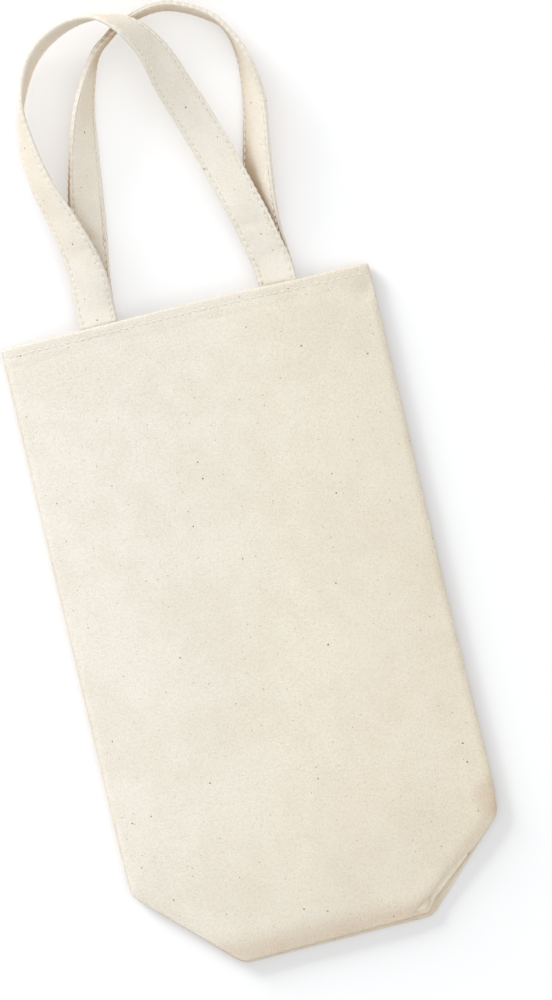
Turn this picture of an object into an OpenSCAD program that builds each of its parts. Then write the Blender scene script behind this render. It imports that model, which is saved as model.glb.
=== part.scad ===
// A cotton carry bag for one bottle, lying flat on its back with its base folded up inside.
// X runs across the bag, +Y points from the bottom fold to the mouth, and +Z points up out of the front.
// The two panels are cut alike. Each runs from the mouth down to the bottom fold, then turns inward
// and up again as its half of the base, so the folded bag has two pockets with a slit between them.

/* [Bag] */
// Width of the bag lying flat
bag_w = 170; // [160:1:190]
// Height of the front from the bottom fold to the mouth
bag_h = 294; // [260:1:330]
// Depth of the base when the bag stands
base_depth = 84; // [76:1:94]
// Thickness of the cloth
cloth_t = 1; // [0.9:0.05:1.1]
// How far the back's bottom fold shows past the front's
back_peek = 1.8; // [1:0.1:3]
// Width of the hem turned in at the mouth
hem_w = 9; // [7:0.5:12]
// Width of the overlocked edges inside
seam_w = 7; // [5:0.5:8]

/* [Lying shape] */
// Rise of the front's middle above its edges
crown = 5.5; // [4.5:0.25:8]
// Distance from the edges over which the front rises
crown_run = 55; // [45:1:60]
// Distance from the mouth over which it settles
mouth_run = 70; // [40:1:100]
// Spare height between the two handles in the mouth
mouth_spare = 0.3; // [0.2:0.05:0.8]
// Lift of the back's edges off the surface
edge_lift = 0.5; // [0.2:0.1:0.8]
// Distance from the edges over which the back settles
edge_run = 16; // [10:1:30]
// Gap inside each pocket's fold
fold_gap = 0.4; // [0.3:0.05:0.6]
// Gap between the front's and the back's folds
slit_gap = 0.2; // [0.15:0.05:0.4]

/* [Handles] */
// Width of the strap
strap_w = 17.5; // [15:0.25:19]
// Thickness of the folded strap
strap_t = 2.2; // [1.9:0.1:2.3]
// Distance between the middles of one handle's two feet
handle_spacing = 83; // [76:1:90]
// How far the pair of handles is sewn to the right of the middle
handle_offset = 1.8; // [0:0.1:3]
// Height of the loops above the mouth, to the middle of the strap
handle_reach = 136; // [115:1:150]
// Length of strap sewn in behind the hem
tail_len = 16; // [12:0.5:24]
// How far beyond the mouth the straps bend
bend_out = 4.5; // [4:0.1:7]

/* [Stitching] */
// Width of a row of thread
thread_w = 0.6; // [0.4:0.05:0.8]
// Height of a row of thread above the cloth
thread_t = 0.3; // [0.2:0.05:0.4]
// Distance of the hem's row from the mouth
hem_row_in = 4; // [3:0.25:5]
// Distance of the strap's rows from its edges
strap_row_in = 1.8; // [1.4:0.1:2.4]

/* [Clearances] */
// Gap between layers that lie on each other
ply_gap = 0.05; // [0.03:0.01:0.08]
// Gap round the straps inside the mouth
strap_gap = 0.2; // [0.15:0.05:0.3]
// Gap where a strap bends
bend_gap = 0.4; // [0.3:0.05:0.6]
// Height of a standing strap edge above the surface
ground_gap = 0.4; // [0.3:0.1:0.8]

/* [Hidden] */

half_w = bag_w / 2;
fold_in = base_depth / 2;
base_half = half_w - fold_in;
// Outer radius of a pocket's fold, seen from the side
fold_r = cloth_t + fold_gap / 2;
// Depth of the pockets at the ends of the side seams
tip_y = fold_in - 2.5 * fold_r;
slant_len = norm([fold_in, tip_y]);
// The four layers at the edges, from the back up
edge_top = edge_lift + 4 * cloth_t + 2 * fold_gap + slit_gap;
edge_mid = (edge_lift + edge_top) / 2;
// The back's row of thread lifts its mouth off the surface
mouth_lift = thread_t + ply_gap;
// How much of the front's rise the folded base takes up
base_rise_share = 0.4;
seam_t = 2 * cloth_t + fold_gap;

// Columns across a panel as shares of its half width, closer together near the edges
side_columns = 12;
column_shares = [for (j = [-side_columns:side_columns]) sin(90 * j / side_columns)];
// Rows down a panel's face, in its pocket, and back up the folded base
face_rows = concat(
    [bag_h, bag_h - hem_row_in, bag_h - hem_w],
    [for (share = [0.08, 0.18, 0.3, 0.44, 0.58, 0.72, 0.84, 0.93, 1])
        bag_h - hem_w - (bag_h - hem_w - fold_in) * share]
);
pocket_shares = [0.25, 0.5, 0.7, 0.88, 1];
fold_angles = [45, 0, -45];
base_shares = [1, 0.7, 0.35, 0];
// Where the bottom corners lie along the columns, and how far they are rounded
corner_share = 0.62;
round_share = 0.06;

// Smooth step from 0 to 1
function limit(t) = max(0, min(1, t));
function ease(t) = let (c = limit(t)) c * c * (3 - 2 * c);
// Rise of a rounded edge, from 0 with an upright start to 1
function rise(t) = sqrt(1 - pow(1 - limit(t), 2));
function mix(a, b, t) = a + (b - a) * t;

// Distance from the slanted lower corner
function slant_in(x, y) = (y * fold_in - (abs(x) - base_half) * tip_y) / slant_len;
// How far a point of the cloth has swelled, 0 along the edges and 1 in the middle
function swell(x, y, run) =
    rise((half_w - abs(x) - fold_r) / run) * rise((slant_in(x, y) - fold_r) / run)
    * rise((y - fold_r) / run);

// How far a place is into the mouth, from 0 to 1, and the rise there that makes room for both handles
function into_mouth(y) = ease(1 - (bag_h - y) / mouth_run);
strap_out_x = handle_spacing / 2 + strap_w / 2 + handle_offset;
mouth_height = mouth_lift + 2 * (2 * cloth_t + strap_gap + strap_t + ply_gap + thread_t) + mouth_spare;
mouth_crown = (mouth_height - edge_top) / swell(strap_out_x, bag_h, crown_run);

// Heights of the faces and of the slit between the two folded halves of the base
function front_z(x, y) = edge_top + mix(crown, mouth_crown, into_mouth(y)) * swell(x, y, crown_run);
function back_z(x, y) = edge_lift * (1 - swell(x, y, edge_run)) + mouth_lift * into_mouth(y);
function slit_z(x, y) = edge_mid + base_rise_share * crown * swell(x, y, crown_run);

// Outline of the folded bottom for a column: the bottom edge, the slant, then the side
function raw_edge(u, peek) =
    let (a = abs(u), side = u < 0 ? -1 : 1,
         corner = [base_half + peek, -peek], tip = [half_w, tip_y],
         p = a <= corner_share ? [corner[0] * a / corner_share, -peek]
           : a <= 1 ? mix(corner, tip, (a - corner_share) / (1 - corner_share))
           : tip + [0, norm(tip - corner) * (a - 1) / (1 - corner_share)])
    [side * p[0], p[1]];
function edge_point(u, peek) =
    (raw_edge(u - round_share, peek) + 2 * raw_edge(u, peek) + raw_edge(u + round_share, peek)) / 4;

// A sheet between two grids of points, row by row. flip turns its faces over.
function sheet_faces(rows, cols, flip) =
    let (n = rows * cols, last = (rows - 1) * cols,
         quads = concat(
             [for (i = [0:rows - 2], j = [0:cols - 2])
                 [i * cols + j, i * cols + j + 1, (i + 1) * cols + j + 1, (i + 1) * cols + j]],
             [for (i = [0:rows - 2], j = [0:cols - 2])
                 [n + (i + 1) * cols + j, n + (i + 1) * cols + j + 1, n + i * cols + j + 1, n + i * cols + j]],
             [for (j = [0:cols - 2]) [n + j, n + j + 1, j + 1, j]],
             [for (j = [0:cols - 2]) [last + j, last + j + 1, n + last + j + 1, n + last + j]],
             [for (i = [0:rows - 2]) [i * cols, (i + 1) * cols, n + (i + 1) * cols, n + i * cols]],
             [for (i = [0:rows - 2])
                 [n + (i + 1) * cols - 1, n + (i + 2) * cols - 1, (i + 2) * cols - 1, (i + 1) * cols - 1]]))
    [for (q = quads, half = [0, 1])
        let (t = half == 0 ? [q[0], q[1], q[2]] : [q[0], q[2], q[3]])
        flip ? [t[2], t[1], t[0]] : t];

module sheet(outer, inner, flip = false) {
    rows = len(outer);
    cols = len(outer[0]);
    polyhedron(
        points = concat([for (r = outer) each r], [for (r = inner) each r]),
        faces = sheet_faces(rows, cols, flip));
}

// One column of a panel: down the face, round the fold, and back up the half of the base.
// skin is 0 on the outside of the cloth and 1 on its inside.
// up is 1 for the front panel and -1 for the back one.
function panel_column(u, skin, up, peek) =
    let (top = [half_w * u, fold_in],
         edge = edge_point(u, peek),
         depth = norm(edge - top),
         along = (edge - top) / depth,
         face_off = -up * skin * cloth_t,
         base_off = up * (slit_gap / 2 + skin * cloth_t),
         near_fold = top + along * (depth - fold_r),
         face_end = up > 0 ? front_z(near_fold[0], near_fold[1]) : back_z(near_fold[0], near_fold[1]),
         base_end = slit_z(near_fold[0], near_fold[1]) + up * slit_gap / 2,
         fold_mid = (face_end + base_end) / 2,
         fold_high = (face_end - base_end) / 2 - up * skin * cloth_t)
    concat(
        [for (y = face_rows) let (x = half_w * u)
            [x, y, (up > 0 ? front_z(x, y) : back_z(x, y)) + face_off]],
        [for (s = pocket_shares) let (p = top + along * (depth - fold_r) * s)
            [p[0], p[1], (up > 0 ? front_z(p[0], p[1]) : back_z(p[0], p[1])) + face_off]],
        [for (a = fold_angles) let (p = near_fold + along * (fold_r - skin * cloth_t) * cos(a))
            [p[0], p[1], fold_mid + fold_high * sin(a)]],
        [for (s = base_shares) let (p = top + along * (depth - fold_r) * s)
            [p[0], p[1], slit_z(p[0], p[1]) + base_off]]);

function across(columns) = [for (i = [0:len(columns[0]) - 1]) [for (c = columns) c[i]]];

module panel(up, peek) {
    sheet(
        across([for (u = column_shares) panel_column(u, 0, up, peek)]),
        across([for (u = column_shares) panel_column(u, 1, up, peek)]),
        flip = up < 0);
}

module front_panel() {
    color("antiquewhite") panel(1, 0);
}

module back_panel() {
    color("antiquewhite") panel(-1, back_peek);
}

// The turned hem: a second layer of cloth inside the mouth
module hem(up) {
    rows = [for (i = [0:2]) face_rows[i]];
    function layer(off) = [for (y = rows) [for (u = column_shares) let (x = half_w * u)
        [x, y, (up > 0 ? front_z(x, y) : back_z(x, y)) - up * off]]];
    sheet(layer(cloth_t + ply_gap), layer(2 * cloth_t), flip = up < 0);
}

module front_hem() {
    color("linen") hem(1);
}

module back_hem() {
    color("linen") hem(-1);
}

// A strip of cloth through pairs of points, one on each of its edges, thick along Z
module strip(pairs, thick, flip = false) {
    lift = [0, 0, thick / 2];
    sheet([for (p = pairs) [for (q = p) q - lift]], [for (p = pairs) [for (q = p) q + lift]], flip = flip);
}

// A cross pair of points on the middle of the folded base's upper edge
function base_pair(x) =
    [[x, fold_in + slit_gap, slit_z(x, fold_in)], [x, fold_in + slit_gap + seam_w, slit_z(x, fold_in)]];

// The overlocked edges of a side seam: down the side, then round the corner along the fold of the base
module side_seam(side) {
    edge = half_w - slit_gap;
    low = fold_in + slit_gap;
    high = bag_h - hem_w - slit_gap;
    down = [for (share = [1, 0.85, 0.7, 0.5, 0.3, 0.15])
        let (y = mix(low, high, share), z = edge_mid + mouth_lift * into_mouth(y) / 2)
        [[edge, y, z], [edge - seam_w, y, z]]];
    turn = [[edge, low, edge_mid], [edge - seam_w, low + seam_w, slit_z(edge - seam_w, fold_in)]];
    run = [for (share = [0.2:0.2:1]) base_pair(mix(edge - seam_w, base_half + slit_gap, share))];
    color("wheat") mirror([side < 0 ? 1 : 0, 0, 0]) strip(concat(down, [turn], run), seam_t, flip = true);
}

module left_side_seam() {
    side_seam(-1);
}

module right_side_seam() {
    side_seam(1);
}

// The overlocked lower edges of the two panels, across the middle of the base
module bottom_seam() {
    color("wheat") strip([for (share = [-1:0.2:1]) base_pair(base_half * share)], seam_t);
}

// A boxed corner's overlocked edges, half of them in each pocket, lying on the folded base
module corner_seam(side) {
    outer = base_half - slit_gap;
    color("wheat") mirror([side < 0 ? 1 : 0, 0, 0])
        for (up = [-1, 1])
            strip([for (share = [0.4:0.1:1]) let (y = fold_in * share)
                [for (x = [outer, outer - seam_w])
                    [x, y, slit_z(x, y) + up * (slit_gap / 2 + 1.5 * cloth_t + ply_gap)]]],
                cloth_t, flip = true);
}

module left_corner_seam() {
    corner_seam(-1);
}

module right_corner_seam() {
    corner_seam(1);
}

// One row of thread just under the mouth edge
module hem_stitching(up) {
    y = bag_h - hem_row_in;
    xs = [for (j = [1:len(column_shares) - 2]) half_w * column_shares[j]];
    function layer(off) = [for (side = [1, -1]) [for (x = xs) let (yy = y + side * thread_w / 2)
        [x, yy, (up > 0 ? front_z(x, y) : back_z(x, y)) + up * off]]];
    sheet(layer(thread_t), layer(ply_gap), flip = up < 0);
}

module front_hem_stitching() {
    color("ivory") hem_stitching(1);
}

module back_hem_stitching() {
    color("ivory") hem_stitching(-1);
}

// Heights of the straps between the hems, worked out at their outer edges, where the mouth is lowest
back_foot_z = back_z(strap_out_x, bag_h) + 2 * cloth_t + strap_gap + strap_t / 2;
front_foot_z = front_z(strap_out_x, bag_h) - 2 * cloth_t - strap_gap - strap_t / 2;
bend_y = bag_h + bend_out;

// The stretches of a strap that are sewn in and reach out to where it bends
module handle_ends(foot_z) {
    long = tail_len + bend_out - bend_gap / 2;
    color("antiquewhite")
        for (side = [-1, 1])
            translate([handle_offset + side * handle_spacing / 2 - strap_w / 2, bag_h - tail_len,
                       foot_z - strap_t / 2])
                cube([strap_w, long, strap_t]);
}

module front_handle_ends() {
    handle_ends(front_foot_z);
}

module back_handle_ends() {
    handle_ends(back_foot_z);
}

// The two loops, seen from above: places as shares of half the spacing and of the reach
front_route_shares = [
    [-1, 0], [-0.99, 0.15], [-1.09, 0.31], [-1.24, 0.47], [-1.31, 0.63], [-1.26, 0.775], [-1.04, 0.91],
    [-0.69, 0.985], [-0.3, 1], [0, 0.95], [0.24, 0.846], [0.405, 0.695], [0.625, 0.493],
    [0.81, 0.282], [0.93, 0.126], [1, 0]
];
back_route_shares = [
    [-1, 0], [-0.97, 0.12], [-0.88, 0.29], [-0.8, 0.438], [-0.71, 0.583], [-0.59, 0.725], [-0.39, 0.862],
    [-0.2, 0.919], [0.01, 0.959], [0.32, 0.986], [0.58, 0.978], [0.9, 0.926], [1.09, 0.862], [1.2, 0.75],
    [1.21, 0.605], [1.11, 0.431], [1.02, 0.279], [0.98, 0.158], [1, 0]
];
// Turn of the strap about its run, where 90 stands it on its inner edge and -90 on its outer one
front_turns = [0, -20, -42, -57, -70, -92, -102, -101, -90, -62, -40, -18, 0, 3, 2, 0];
back_turns = [0, 2, 14, 30, 46, 64, 81, 85, 84, 82, 82, 83, 88, 75, 57, 47, 33, 16, 0];
// Lift above a strap that lies on the surface, as shares of the strap's width
front_lift_shares = [0, 0.2, 0.39, 0.34, 0.17, 0.05, 0.05, 0.4, 0.9, 1.08, 0.91, 0.57, 0.3, 0.245, 0.1, 0];
back_lift_shares = [0, 0, 0, 0, 0, 0, 0, 0, 0, 0, 0, 0, 0, 0, 0, 0, 0, 0, 0];

route_y = bend_y + bend_gap / 2;

// Height of a strap's middle when its lower edge rests just above the surface
function resting_z(turn) = ground_gap + abs(sin(turn)) * strap_w / 2 + abs(cos(turn)) * strap_t / 2;

// Places with height and turn, as X, Y, Z and turn, for one loop
function route(shares, turns, lifts, foot_z) =
    [for (i = [0:len(shares) - 1])
        [handle_offset + shares[i][0] * handle_spacing / 2,
         mix(route_y, bag_h + handle_reach, shares[i][1]),
         (i == 0 || i == len(shares) - 1) ? foot_z
             : max(foot_z, resting_z(turns[i])) + lifts[i] * strap_w,
         turns[i]]];

// The place beyond a foot that makes a curve leave it straight up the bag
function beyond(foot, next) = [next[0], 2 * foot[1] - next[1], next[2], next[3]];

// A smooth curve through the places
function curve_at(p, t) =
    let (n = len(p), i = min(floor(t), n - 2), f = t - i,
         a = i == 0 ? beyond(p[0], p[1]) : p[i - 1], b = p[i], c = p[i + 1],
         d = i == n - 2 ? beyond(p[n - 1], p[n - 2]) : p[i + 2])
    (2 * b + (c - a) * f + (2 * a - 5 * b + 4 * c - d) * f * f
        + (3 * b - a - 3 * c + d) * f * f * f) / 2;

loop_rings = 60;
// Frames along a loop: [middle, direction across the strap, direction out of its face]
function frames(p) =
    let (n = len(p), raw = [for (k = [0:loop_rings]) curve_at(p, k * (n - 1) / loop_rings)],
         at = [for (q = raw) [q[0], q[1], q[2]]])
    [for (k = [0:loop_rings])
        let (ahead = k == 0 ? [0, 1, 0] : k == loop_rings ? [0, -1, 0] : at[k + 1] - at[k - 1],
             run = ahead / norm(ahead),
             flat = [-run[1], run[0], 0] / norm([run[1], run[0]]),
             upright = cross(run, flat),
             turn = raw[k][3],
             wide = flat * cos(turn) + upright * sin(turn))
        [at[k], wide, cross(run, wide)]];

// A ribbon along a loop, with an edge or a line at each of the steps across, thick on both sides of
// a surface that lies step_out from the loop's middle
module ribbon(loop, steps_across, thick, step_out = 0) {
    function line(f, off) = [for (step = steps_across) f[0] + f[1] * step + f[2] * off];
    sheet(
        [for (f = loop) line(f, step_out + thick / 2)],
        [for (f = loop) line(f, step_out - thick / 2)]);
}

// Lines across a strap: its edges and both sides of its rows of thread
row_step = strap_w / 2 - strap_row_in;
strap_steps = [
    strap_w / 2, row_step + thread_w / 2, row_step - thread_w / 2,
    thread_w / 2 - row_step, -thread_w / 2 - row_step, -strap_w / 2
];

front_loop = frames(route(front_route_shares, front_turns, front_lift_shares, front_foot_z));
back_loop = frames(route(back_route_shares, back_turns, back_lift_shares, back_foot_z));

module front_handle() {
    color("antiquewhite") ribbon(front_loop, strap_steps, strap_t);
}

module back_handle() {
    color("antiquewhite") ribbon(back_loop, strap_steps, strap_t);
}

// Rows of thread along both edges of a strap, on both of its faces
module strap_stitching(loop) {
    for (row = [1, 3], face = [-1, 1])
        ribbon(loop, [strap_steps[row], strap_steps[row + 1]], thread_t - ply_gap,
               face * (strap_t + thread_t + ply_gap) / 2);
}

module front_handle_stitching() {
    color("ivory") strap_stitching(front_loop);
}

module back_handle_stitching() {
    color("ivory") strap_stitching(back_loop);
}

// The part's own origin: the middle of its outline, on the surface it lies on
top_y = max([for (loop = [front_loop, back_loop]) each [for (f = loop)
    f[0][1] + abs(f[1][1]) * strap_w / 2 + abs(f[2][1]) * strap_t / 2]]);
middle = [0, -(top_y - back_peek) / 2, 0];

translate(middle) front_panel();
translate(middle) back_panel();
translate(middle) front_hem();
translate(middle) back_hem();
translate(middle) left_side_seam();
translate(middle) right_side_seam();
translate(middle) bottom_seam();
translate(middle) left_corner_seam();
translate(middle) right_corner_seam();
translate(middle) front_hem_stitching();
translate(middle) back_hem_stitching();
translate(middle) front_handle_ends();
translate(middle) back_handle_ends();
translate(middle) front_handle();
translate(middle) back_handle();
translate(middle) front_handle_stitching();
translate(middle) back_handle_stitching();
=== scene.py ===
# %% [markdown]
# # A cotton bottle bag, lying flat
#
# The real object is a narrow bag of brushed, undyed cotton for one bottle. It lies on its back with its
# base folded up inside, and two strap handles beyond the mouth. A construction model gives every piece its
# place, and this lesson cuts the cloth, folds it, sews it and gives it a finish.

import math
from contextlib import contextmanager

import bpy
import numpy as np
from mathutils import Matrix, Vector, noise


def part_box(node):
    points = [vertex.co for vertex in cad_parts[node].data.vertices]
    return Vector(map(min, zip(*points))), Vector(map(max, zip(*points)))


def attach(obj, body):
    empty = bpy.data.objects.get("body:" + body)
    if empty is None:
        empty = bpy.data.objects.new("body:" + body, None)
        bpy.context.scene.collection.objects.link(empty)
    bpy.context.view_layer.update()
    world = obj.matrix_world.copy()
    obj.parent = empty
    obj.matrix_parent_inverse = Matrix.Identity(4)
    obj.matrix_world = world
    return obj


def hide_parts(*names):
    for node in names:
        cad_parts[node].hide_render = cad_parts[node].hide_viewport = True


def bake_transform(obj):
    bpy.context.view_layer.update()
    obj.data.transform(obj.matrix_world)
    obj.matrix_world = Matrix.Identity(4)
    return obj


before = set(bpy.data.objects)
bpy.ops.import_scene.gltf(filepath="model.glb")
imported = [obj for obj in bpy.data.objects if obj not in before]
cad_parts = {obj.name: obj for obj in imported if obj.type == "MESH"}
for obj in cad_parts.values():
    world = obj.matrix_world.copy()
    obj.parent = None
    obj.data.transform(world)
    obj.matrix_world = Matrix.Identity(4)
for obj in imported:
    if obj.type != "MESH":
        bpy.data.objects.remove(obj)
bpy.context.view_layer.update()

# %% [markdown]
# ## Sizes
#
# The cloth is laid in millimetres: X across the bag, Y up from the bottom fold, and Z up off the table.
# One helper turns such a place into the frame's metres. The driving sizes come from the frame, and the
# rest are what a sewing pattern for this bag would say.

# %% Sizes from the frame and from the pattern
MM = 0.001
panel_low, panel_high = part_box("front_panel")
FOLD_Y = panel_low.y
BAG_H = (panel_high.y - FOLD_Y) / MM
HALF_W = panel_high.x / MM
seam_low, seam_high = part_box("bottom_seam")
FOLD_IN = (seam_low.y - FOLD_Y) / MM
SEAM_W = (seam_high.y - FOLD_Y) / MM - FOLD_IN
HEM_W = (panel_high.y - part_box("front_hem")[0].y) / MM
row_low, row_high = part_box("front_hem_stitching")
HEM_ROW = BAG_H - ((row_low.y + row_high.y) / 2 - FOLD_Y) / MM

CLOTH = 0.95
EDGE_TOP = 5.5
MIDDLE_Z = 3.0
EDGE_LIFT = 0.5
CROWN = panel_high.z / MM - EDGE_TOP
BASE_RISE = 0.4
FOLD_DROP = 0.9


def in_frame(places):
    """Bag places in millimetres as frame places in metres."""
    return np.asarray(places, float) * MM + np.array([0, FOLD_Y, 0])


def ease(t):
    """A smooth step from 0 to 1."""
    t = np.clip(t, 0, 1)
    return t * t * (3 - 2 * t)


def pillow(t):
    """The rise of soft cloth from its edge, from 0 to 1."""
    return 1 - (1 - np.clip(t, 0, 1)) ** 2


def bump(distance, width):
    """A soft hump, 1 in the middle."""
    return np.exp(-((distance / width) ** 2))


def ripple(x, y, size, seed):
    """Smooth unevenness from about -1 to 1 whose waves are about size millimetres long."""
    flat = [noise.noise(Vector((a / size, b / size, seed))) for a, b in zip(np.ravel(x), np.ravel(y))]
    return np.reshape(flat, np.shape(x))


def settle(places):
    """Lets the sides and the mouth stray outwards a little, as a sewn bag's do."""
    places = np.array(places, float)
    x, y = places[..., 0], places[..., 1]
    near_edge = ease((abs(x) - 50) / 35)
    places[..., 0] += near_edge * np.where(x > 0, 0.7 * bump(y - 62, 45), -0.5)
    places[..., 1] += 0.9 * bump(x - 8, 42) * ease((y - BAG_H + 40) / 40)
    return places


print(f"Bag {2 * HALF_W:.0f} x {BAG_H:.0f} mm, base folded in {FOLD_IN:.0f} mm, crown {CROWN:.1f} mm")

# %% [markdown]
# ## Camera
#
# The bag is seen straight from above, turned a little clockwise. A long lens far away keeps the raised
# handles from leaning outwards.

# %% The camera
LEAN = math.radians(-13.37)
VIEW_MIDDLE = Vector((19.8 * MM, -15.7 * MM, 0))
VIEW_HEIGHT = 452 * MM
LENS = 400
SENSOR = 36

bpy.ops.object.camera_add(rotation=(0, 0, LEAN))
camera = bpy.context.object
camera.name = "camera"
camera.location = VIEW_MIDDLE + Vector((0, 0, VIEW_HEIGHT * LENS / SENSOR))
camera.data.lens = LENS
camera.data.sensor_fit = "VERTICAL"
camera.data.sensor_height = SENSOR
camera.data.clip_end = 100
bpy.context.scene.camera = camera
bpy.context.scene.view_settings.view_transform = "Standard"
print(f"Camera {camera.location.z:.2f} m above the table")

# %% [markdown]
# ## Shader maths
#
# Every finish here is a small sum of noises, so the shader maths is written as Python sums. A Wire holds
# one socket, and each sum on it adds a node. A Tree makes the nodes of a material or of the surroundings,
# and a Finish is the Tree of one material.

# %% Shader maths as Python sums
def math_node(operation):
    """A method that adds a Math node of that kind, whose first number is the wire itself."""
    return lambda wire, *others: wire.tree.node(
        "ShaderNodeMath", {"operation": operation}, dict(enumerate((wire, *others))))


class Wire:
    """One number in a material that can be used in sums."""

    __add__ = math_node("ADD")
    __sub__ = math_node("SUBTRACT")
    __mul__ = math_node("MULTIPLY")
    sine = math_node("SINE")
    size = math_node("ABSOLUTE")
    root = math_node("SQRT")
    least = math_node("MINIMUM")
    above = math_node("GREATER_THAN")
    within = math_node("FLOORED_MODULO")

    def __init__(self, tree, socket):
        self.tree = tree
        self.socket = socket

    def __rsub__(self, other):
        return self.tree.node("ShaderNodeMath", {"operation": "SUBTRACT"}, {0: other, 1: self})

    def step(self, low, high):
        """0 below low and 1 above high, or the other way round where low is the larger."""
        return self.tree.node(
            "ShaderNodeMapRange", {"interpolation_type": "SMOOTHSTEP"},
            {"Value": self, "From Min": low, "From Max": high})


class Tree:
    """The nodes of a material or of the surroundings."""

    def __init__(self, owner):
        owner.use_nodes = True
        self.nodes = owner.node_tree.nodes
        self.links = owner.node_tree.links

    def node(self, kind, settings=None, inputs=None, output=0):
        """Adds a node, with its settings first, and returns one of its outputs."""
        made = self.nodes.new(kind)
        for name, value in (settings or {}).items():
            setattr(made, name, value)
        for name, value in (inputs or {}).items():
            self.feed(made.inputs[name], value)
        return Wire(self, made.outputs[output])

    def feed(self, socket, value):
        if isinstance(value, Wire):
            self.links.new(value.socket, socket)
        else:
            socket.default_value = value


class Finish(Tree):
    """One material, with its pattern on the piece's own cloth coordinates."""

    def __init__(self, name):
        self.material = bpy.data.materials.new(name)
        super().__init__(self.material)
        self.shader = self.nodes["Principled BSDF"]
        cut = self.node("ShaderNodeTexCoord", output="UV")
        self.grain = self.node(
            "ShaderNodeVectorMath", {"operation": "SCALE"}, {"Vector": cut, "Scale": 1 / MM})

    def noise(self, size, detail=2.0, rough=0.5):
        """Soft noise from 0 to 1 whose spots are about size millimetres wide."""
        return self.node(
            "ShaderNodeTexNoise", {"noise_dimensions": "2D"},
            {"Vector": self.grain, "Scale": 1 / size, "Detail": detail, "Roughness": rough})

    def flecks(self, cell, radius, share, ragged=0.35):
        """Seed flecks: 1 inside a few small spots, one at most in each cell of that many millimetres."""
        settings = {"voronoi_dimensions": "2D"}
        inputs = {"Vector": self.grain, "Scale": 1 / cell}
        far = self.node("ShaderNodeTexVoronoi", settings, inputs, output="Distance")
        shade = self.node("ShaderNodeTexVoronoi", settings, inputs, output="Color")
        chance = self.node("ShaderNodeSeparateColor", inputs={"Color": shade}, output="Red")
        grow = self.node("ShaderNodeSeparateColor", inputs={"Color": shade}, output="Green")
        uneven = (self.noise(0.6) - 0.5) * (ragged * radius / cell * 4)
        edge = (grow * 0.6 + 0.4) * (radius / cell)
        inside = (edge - far + uneven).step(-0.1 * radius / cell, 0.35 * radius / cell)
        return inside * chance.above(1 - share)

    def part(self, name):
        """X, across the cut cloth, or Y, along it, in millimetres."""
        return self.node("ShaderNodeSeparateXYZ", inputs={"Vector": self.grain}, output=name)

    def needle_holes(self, along, across, first, rows, radius=0.32):
        """1 in the small pits where stitches go through the cloth, along rows at those places."""
        step = (along - (first - STITCH_PITCH / 2)).within(STITCH_PITCH) - STITCH_PITCH / 2
        aside = (across - rows[0]).size()
        for row in rows[1:]:
            aside = aside.least((across - row).size())
        return (step * step + aside * aside).root().step(radius, radius * 0.4)

    def blend(self, share, first, second):
        """The first colour where share is 0, and the second where it is 1."""
        return self.node(
            "ShaderNodeMix", {"data_type": "RGBA"}, {0: share, 6: first, 7: second}, output=2)

    def deepen(self, share, colour, by):
        """The colour as it is where share is 0, and multiplied by the other one where it is 1."""
        return self.node(
            "ShaderNodeMix", {"data_type": "RGBA", "blend_type": "MULTIPLY"}, {0: share, 6: colour, 7: by},
            output=2)

    def painted_occlusion_shade(self, reach):
        """Ambient occlusion for painted shade: 1 deep in folds and under other cloth, and 0 in the open,
        looking that many millimetres around.
        """
        return 1 - self.node(
            "ShaderNodeAmbientOcclusion", {"samples": 6}, {"Distance": reach * MM}, output="AO")

    def dress(self, colour, roughness, height, depth):
        """Joins the colour, the roughness and the bump, whose height is in millimetres at depth 1."""
        relief = self.node(
            "ShaderNodeBump", inputs={"Height": height, "Distance": depth * MM, "Strength": 1.0},
            output="Normal")
        for name, value in (
                ("Base Color", colour), ("Roughness", roughness), ("Normal", relief),
                ("Sheen Weight", 0.1), ("Sheen Roughness", 0.4), ("Specular IOR Level", 0.15)):
            self.feed(self.shader.inputs[name], value)
        return self.material


# %% [markdown]
# ## Light
#
# The light is that of a studio table: a low soft lamp from the upper left, which throws the shadow to the
# lower right, a weaker and higher one opposite to fill the dark sides, and surroundings that are brightest
# overhead and look plain white to the camera. Together they give the bag a little more than full light. One
# more lamp lights only the table, and only the two panels shade it, so it is linked once they are made.

# %% The lamps and the surroundings
FULL = 1.05
KEY_SHARE = 0.16
FILL_SHARE = 0.06
AROUND = 0.26
TABLE_SHARE = 0.31
OVERHEAD = 2 * (FULL - KEY_SHARE - FILL_SHARE - AROUND)


def soft_lamp(name, turn, height, away, size, share):
    """A square lamp aimed at the bag that gives that share of full light on a level surface."""
    turn, height = math.radians(turn) + LEAN, math.radians(height)
    toward = Vector((math.cos(turn) * math.cos(height), math.sin(turn) * math.cos(height), math.sin(height)))
    bpy.ops.object.light_add(type="AREA", location=toward * away)
    lamp = bpy.context.object
    lamp.name = name
    lamp.rotation_euler = toward.to_track_quat("Z", "Y").to_euler()
    lamp.data.size = size
    lamp.data.energy = share * (math.pi * away) ** 2 / math.sin(height)
    return lamp


soft_lamp("key_lamp", turn=138, height=17, away=6, size=2.2, share=KEY_SHARE)
table_lamp = soft_lamp("table_lamp", turn=138, height=14, away=6, size=2.8, share=TABLE_SHARE)
soft_lamp("fill_lamp", turn=-35, height=50, away=6, size=4, share=FILL_SHARE)
world = bpy.data.worlds.new("surroundings")
surroundings = Tree(world)
toward = surroundings.node("ShaderNodeTexCoord", output="Generated")
up = surroundings.node("ShaderNodeSeparateXYZ", inputs={"Vector": toward}, output="Z")
background = surroundings.nodes["Background"].inputs
surroundings.feed(background["Color"], (1, 1, 1, 1))
unseen = 1 - surroundings.node("ShaderNodeLightPath", output="Is Camera Ray")
surroundings.feed(background["Strength"], (up * up * OVERHEAD + AROUND - 1) * unseen + 1)
bpy.context.scene.world = world
print(f"Lamps give the bag {KEY_SHARE + FILL_SHARE:.2f} of full light, surroundings the rest of {FULL}")
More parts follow.
